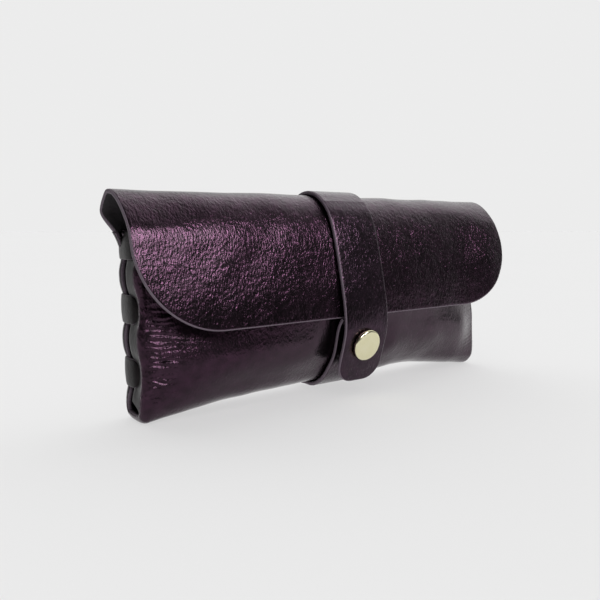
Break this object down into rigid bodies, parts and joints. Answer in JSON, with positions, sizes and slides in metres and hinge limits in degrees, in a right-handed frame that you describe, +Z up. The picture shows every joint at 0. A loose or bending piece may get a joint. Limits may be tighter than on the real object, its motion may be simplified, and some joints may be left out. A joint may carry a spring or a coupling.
{
  "type": "glasses case",
  "caption": "Soft leather pouch glasses case with a rolled top, a rounded front flap, laced ends and a wrap-around strap with a snap fastener.",
  "frame": {"origin": "middle of the strap's flat underside, on the plane that the case stands on", "axes": "+X along the case to the right as seen from the front, -Y towards the front with the flap and the snap, +Z up to the rolled top"},
  "size_m": [0.182, 0.0418, 0.0803],
  "materials": {
    "body_leather": "metallic aubergine foil leather, pebbled and crinkled grain, broad soft gloss",
    "strap_leather": "metallic aubergine foil leather, fine pebbled grain, grey-mauve raw cut edges",
    "lace_leather": "smooth dark metallic leather lace, soft gloss",
    "pale_gold": "polished pale champagne-gold plating",
    "snap_inner": "plain plated stamping"
  },
  "bodies": {
    "root": {"pouch_body": "body_leather", "flap_roll": "body_leather", "left_lace": "lace_leather", "right_lace": "lace_leather", "strap_back": "strap_leather", "strap_bend": "strap_leather", "snap_stud": "snap_inner", "snap_post": "snap_inner", "rivet_cap": "pale_gold", "rivet_post": "snap_inner"},
    "flap": {"flap": "body_leather"},
    "strap_front": {"strap_front": "strap_leather", "snap_cap": "pale_gold", "snap_socket": "snap_inner"}
  },
  "joints": [
    {"name": "flap_hinge", "type": "hinge", "parent": "root", "child": "flap", "pos_m": [0, 0.003, 0.0743], "axis": [-1, 0, 0], "range_deg": [0, 150], "deforming": ["flap_roll", "strap_bend"]},
    {"name": "strap_hinge", "type": "hinge", "parent": "flap", "child": "strap_front", "pos_m": [0, -0.0149, 0.0711], "axis": [-1, 0, 0], "range_deg": [0, 100]}
  ]
}
